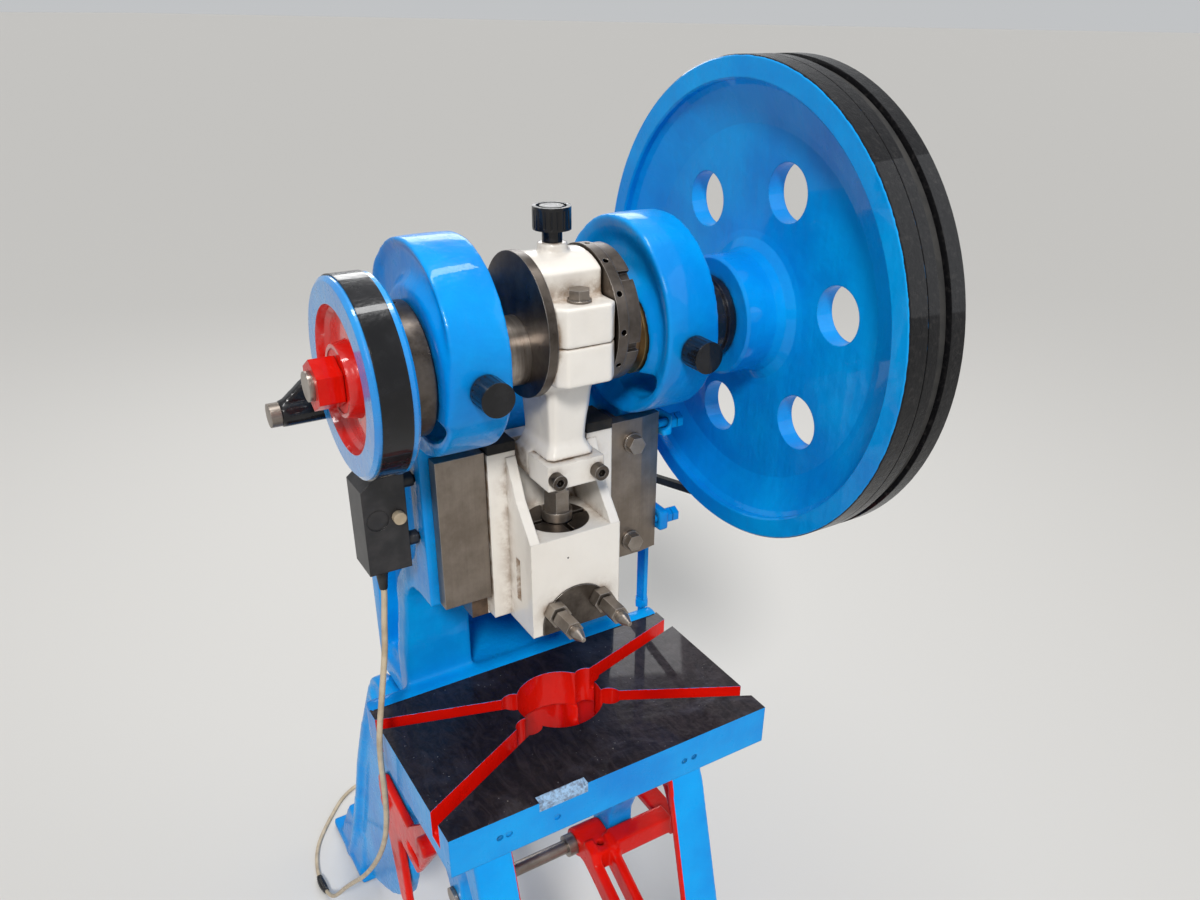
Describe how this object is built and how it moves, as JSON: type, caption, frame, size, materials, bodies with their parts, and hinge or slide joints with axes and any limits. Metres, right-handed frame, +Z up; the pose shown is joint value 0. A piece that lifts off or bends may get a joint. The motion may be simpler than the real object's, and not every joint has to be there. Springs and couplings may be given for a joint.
{
  "type": "mechanical stamping press",
  "caption": "Inclinable C-frame mechanical stamping press with spoked flywheel, band brake, adjustable eccentric, slotted table and foot treadle on an open cast stand.",
  "frame": {"origin": "floor, below the middle of the machine's bounding box", "axes": "+Z up, +X towards the flywheel, the operator stands at -Y"},
  "size_m": [0.57, 1.0755, 1.4247],
  "materials": {
    "blue_enamel": "gloss brush paint with runs and chips",
    "red_enamel": "gloss brush paint",
    "white_enamel": "gloss, oil stained",
    "black_enamel": "gloss",
    "steel": "worn, oily",
    "dark_steel": "oiled, brown",
    "bronze": "machined",
    "lining": "pressed friction lining",
    "felt": "oily felt",
    "black_plastic": "moulded",
    "beige_plastic": "yellowed",
    "motor_grey": "satin",
    "belt_rubber": "matt"
  },
  "bodies": {
    "frame": {"frame_casting": "blue_enamel", "left_leg": "blue_enamel", "right_leg": "blue_enamel", "leg_bolts": "blue_enamel", "main_bushes": "bronze", "brake_band": "black_enamel", "brake_lining": "lining", "brake_bolt": "steel", "brake_anchor": "black_enamel", "brake_pin": "steel", "grease_cups": "black_enamel", "left_gib": "steel", "right_gib": "steel", "gib_bolts": "steel", "gib_adjusting_screws": "blue_enamel", "latch_bracket": "blue_enamel", "treadle_shaft": "steel", "treadle_hanger": "red_enamel", "starter_box": "black_plastic", "cable_gland": "black_plastic", "mains_cable": "beige_plastic", "cable_coil": "beige_plastic", "plug": "beige_plastic", "motor": "motor_grey", "motor_plate": "blue_enamel", "plate_bolts": "steel", "drive_belt": "belt_rubber"},
    "crank": {"crankshaft": "steel", "eccentric_disc": "dark_steel", "stroke_ring": "dark_steel", "stroke_lock_nut": "dark_steel", "shaft_collar": "dark_steel", "brake_drum": "blue_enamel", "hub_nut": "red_enamel", "flywheel_cap": "dark_steel", "cap_screws": "steel", "clutch_collar": "black_enamel"},
    "flywheel": {"flywheel": "blue_enamel", "flywheel_bush": "bronze"},
    "rotor": {"motor_pulley": "black_enamel"},
    "pitman": {"pitman": "white_enamel", "pitman_cap": "white_enamel", "pitman_bolts": "steel", "pitman_bush": "bronze", "oil_cup": "black_enamel", "screw_clamp": "white_enamel", "clamp_screws": "dark_steel"},
    "ram": {"ram": "white_enamel", "ram_pads": "felt", "ball_ring": "dark_steel", "ball_seat": "bronze", "tool_clamp": "dark_steel", "clamp_studs": "steel", "clamp_nuts": "steel"},
    "screw": {"adjusting_screw": "steel"},
    "treadle": {"treadle": "red_enamel"},
    "rod": {"trip_rod": "blue_enamel", "rod_block": "blue_enamel"},
    "latch": {"trip_latch": "dark_steel"},
    "button": {"start_button": "beige_plastic"}
  },
  "joints": [
    {"name": "crank_turn", "type": "hinge", "parent": "frame", "child": "crank", "pos_m": [-0.019, -0.16, 1.16], "axis": [1, 0, 0], "range_deg": [0, 180]},
    {"name": "pitman_slide", "type": "slide", "parent": "frame", "child": "pitman", "axis": [0, 0, 1], "range_m": [-0.05, 0]},
    {"name": "ram_adjust", "type": "slide", "parent": "pitman", "child": "ram", "axis": [0, 0, 1], "range_m": [-0.012, 0]},
    {"name": "screw_turn", "type": "hinge", "parent": "ram", "child": "screw", "pos_m": [-0.019, -0.16, 0.922], "axis": [0, 0, 1], "range_deg": [0, 1440]},
    {"name": "flywheel_spin", "type": "hinge", "parent": "frame", "child": "flywheel", "pos_m": [-0.019, -0.16, 1.16], "axis": [1, 0, 0], "continuous": true},
    {"name": "motor_spin", "type": "hinge", "parent": "frame", "child": "rotor", "pos_m": [0.256, 0.26, 0.85], "axis": [1, 0, 0], "continuous": true},
    {"name": "treadle_press", "type": "hinge", "parent": "frame", "child": "treadle", "pos_m": [0.059, -0.1, 0.37], "axis": [1, 0, 0], "range_deg": [0, 12], "stiffness_Nm_per_rad": 45, "springref_deg": -20.05},
    {"name": "trip_rod_lift", "type": "slide", "parent": "frame", "child": "rod", "axis": [0, 0, 1], "range_m": [0, 0.015]},
    {"name": "latch_release", "type": "hinge", "parent": "frame", "child": "latch", "pos_m": [0.153, -0.1, 1.061], "axis": [1, 0, 0], "range_deg": [0, 12]},
    {"name": "button_press", "type": "slide", "parent": "frame", "child": "button", "axis": [0, 1, 0], "range_m": [0, 0.003], "stiffness_N_per_m": 400, "springref_m": -0.002}
  ],
  "couplings": [
    {"joint": "pitman_slide", "follows": "crank_turn", "m_per_rad": -0.015915},
    {"joint": "screw_turn", "follows": "ram_adjust", "rad_per_m": -2094.4},
    {"joint": "motor_spin", "follows": "flywheel_spin", "ratio": 5.3975},
    {"joint": "trip_rod_lift", "follows": "treadle_press", "m_per_rad": 0.07},
    {"joint": "latch_release", "follows": "treadle_press", "ratio": 1}
  ]
}
